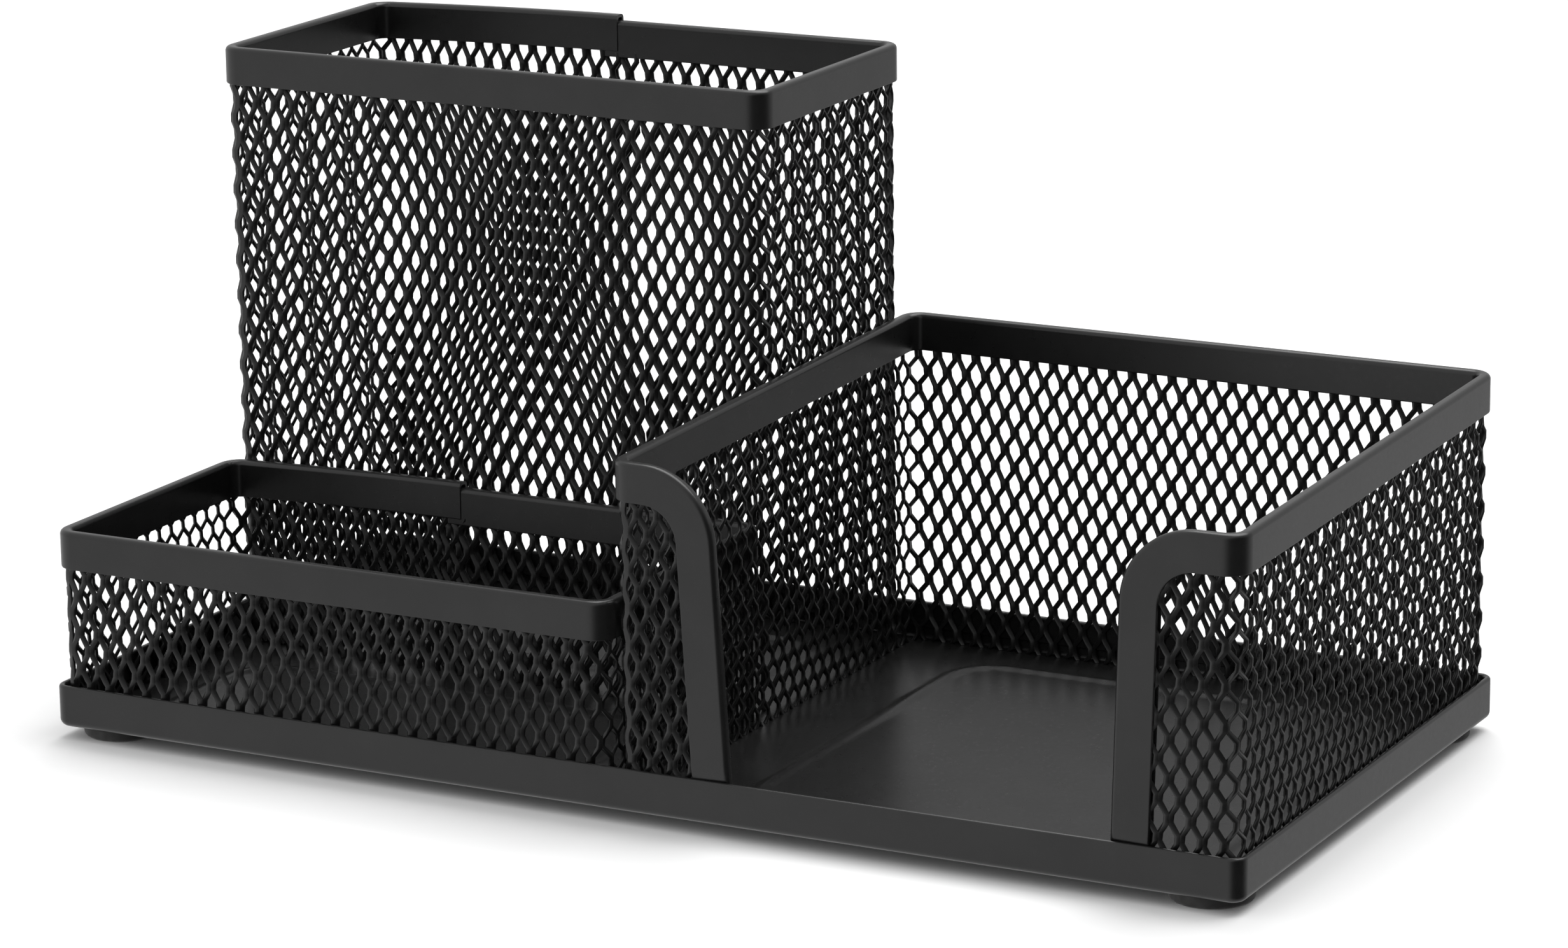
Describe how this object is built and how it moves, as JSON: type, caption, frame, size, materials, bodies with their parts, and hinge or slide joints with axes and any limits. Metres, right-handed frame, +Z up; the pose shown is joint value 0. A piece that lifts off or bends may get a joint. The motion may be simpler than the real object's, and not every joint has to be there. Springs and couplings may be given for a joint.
{
  "type": "desk organizer",
  "caption": "Black steel mesh desk organizer: tall pen cup and low clip tray on the left, open-fronted note bin on the right, on one lipped base pan.",
  "frame": {"origin": "on the desk, under the middle of the base pan", "axes": "+Z up, +X along the length from the pen cup towards the note bin, front towards -Y"},
  "size_m": [0.2058, 0.1042, 0.1042],
  "materials": {
    "black_powder_coat": "satin",
    "foot_rubber": "matte",
    "foot_adhesive": "matte"
  },
  "bodies": {
    "root": {"base_pan": "black_powder_coat", "pen_cup_mesh": "black_powder_coat", "clip_tray_mesh": "black_powder_coat", "note_bin_mesh": "black_powder_coat", "pen_cup_rim": "black_powder_coat", "clip_tray_rim": "black_powder_coat", "note_bin_rim": "black_powder_coat", "foot_front_left": "foot_rubber", "foot_front_right": "foot_rubber", "foot_back_left": "foot_rubber", "foot_back_right": "foot_rubber", "foot_adhesive_front_left": "foot_adhesive", "foot_adhesive_front_right": "foot_adhesive", "foot_adhesive_back_left": "foot_adhesive", "foot_adhesive_back_right": "foot_adhesive"}
  },
  "joints": []
}
